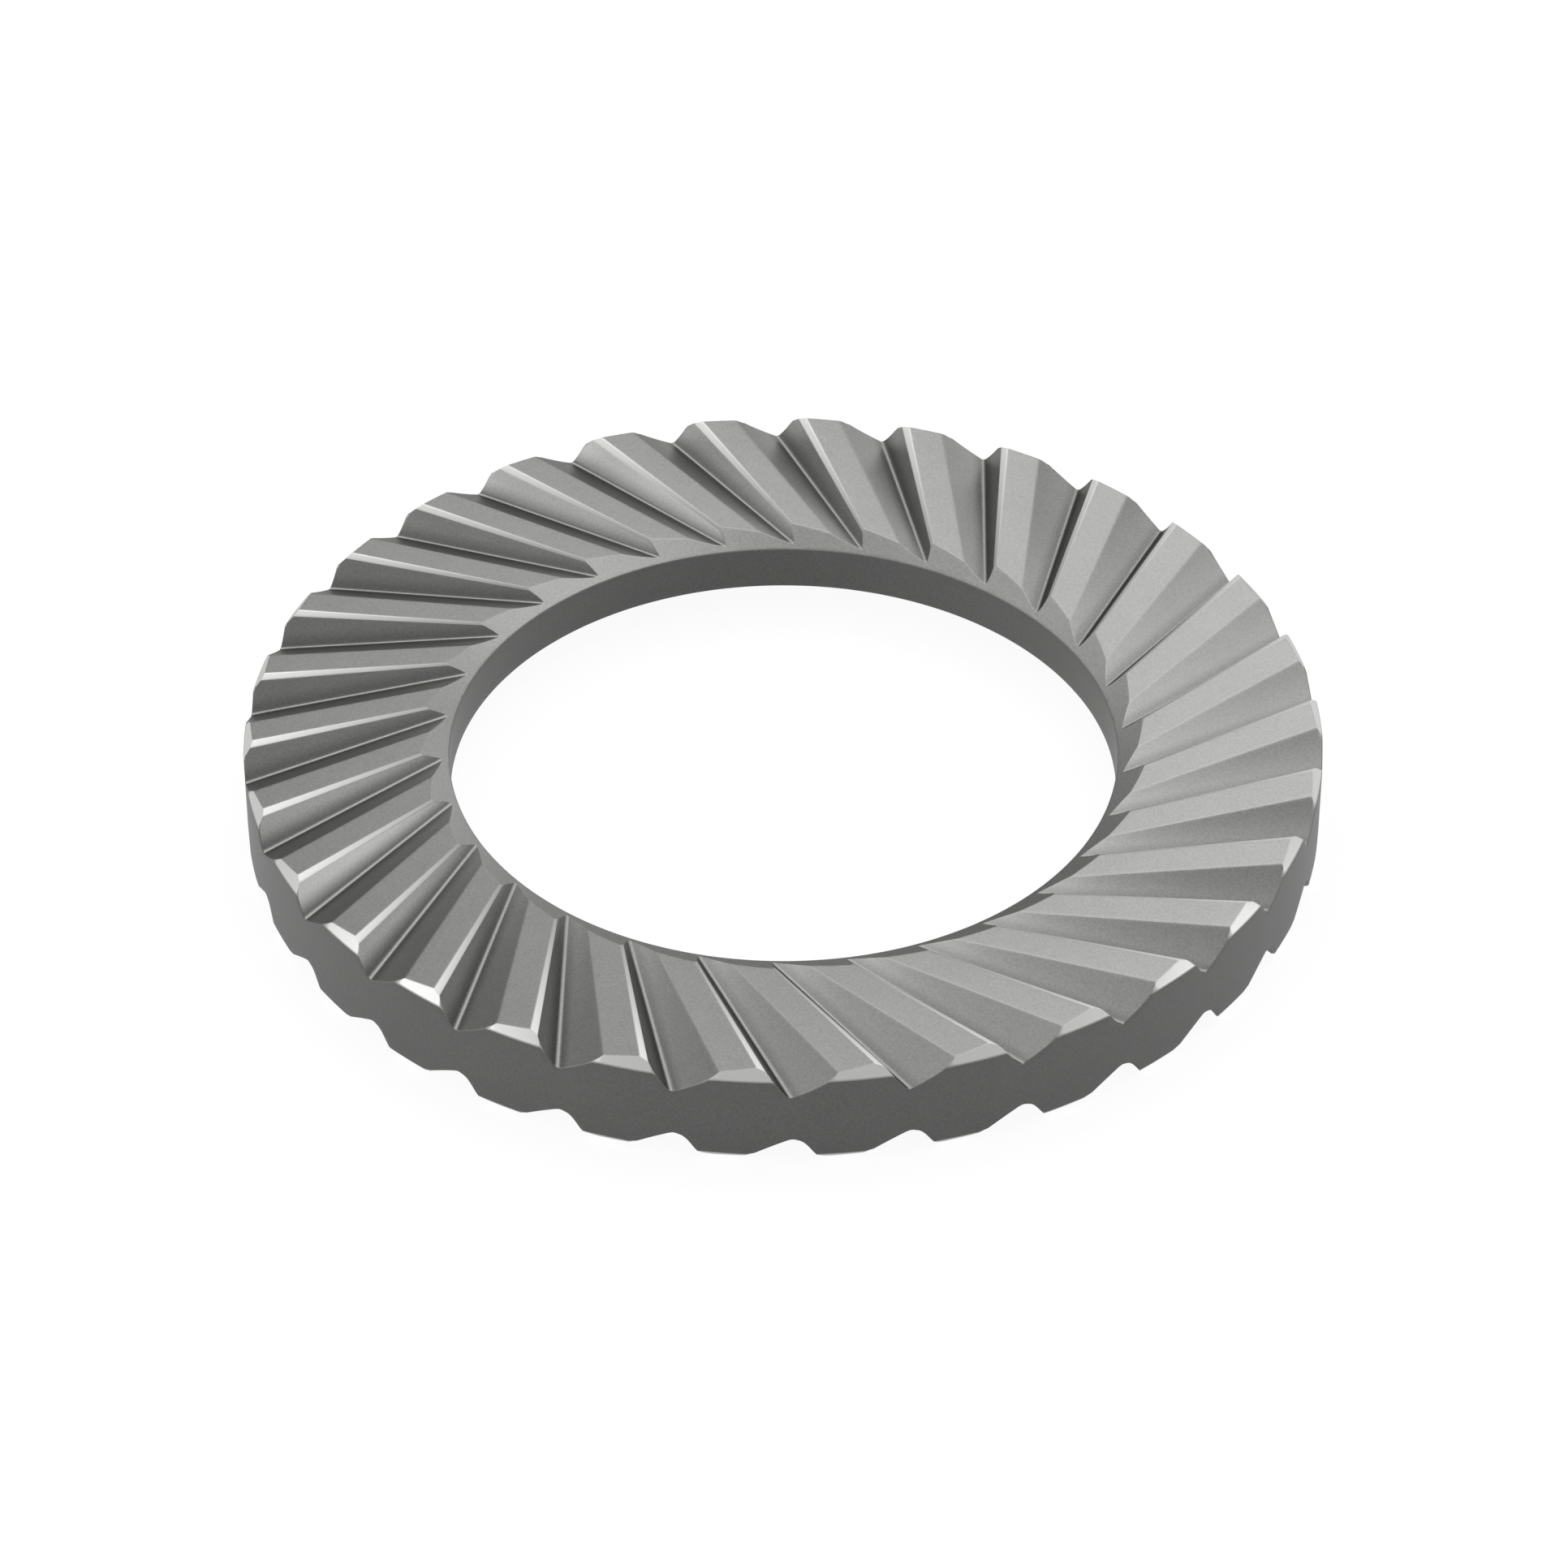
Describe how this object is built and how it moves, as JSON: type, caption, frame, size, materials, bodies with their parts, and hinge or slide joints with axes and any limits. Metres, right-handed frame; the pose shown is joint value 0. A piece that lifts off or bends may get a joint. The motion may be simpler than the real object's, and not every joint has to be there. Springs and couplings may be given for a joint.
{
  "type": "serrated safety washer",
  "caption": "Flat steel ring with slanted saw teeth coined into both faces, placed under a bolt head or nut so that the joint does not work loose.",
  "frame": {"origin": "centre of the ring, on the bore axis and halfway along the plain bore", "axes": "+Z along the bore axis, out of the face whose tooth roots are narrow; +Y through the rim end of one of these roots"},
  "size_m": [0.0132, 0.0132, 0.0014],
  "materials": {
    "steel": "fine matte zinc flake coat on spring steel"
  },
  "bodies": {
    "root": {"serrated_washer": "steel"}
  },
  "joints": []
}
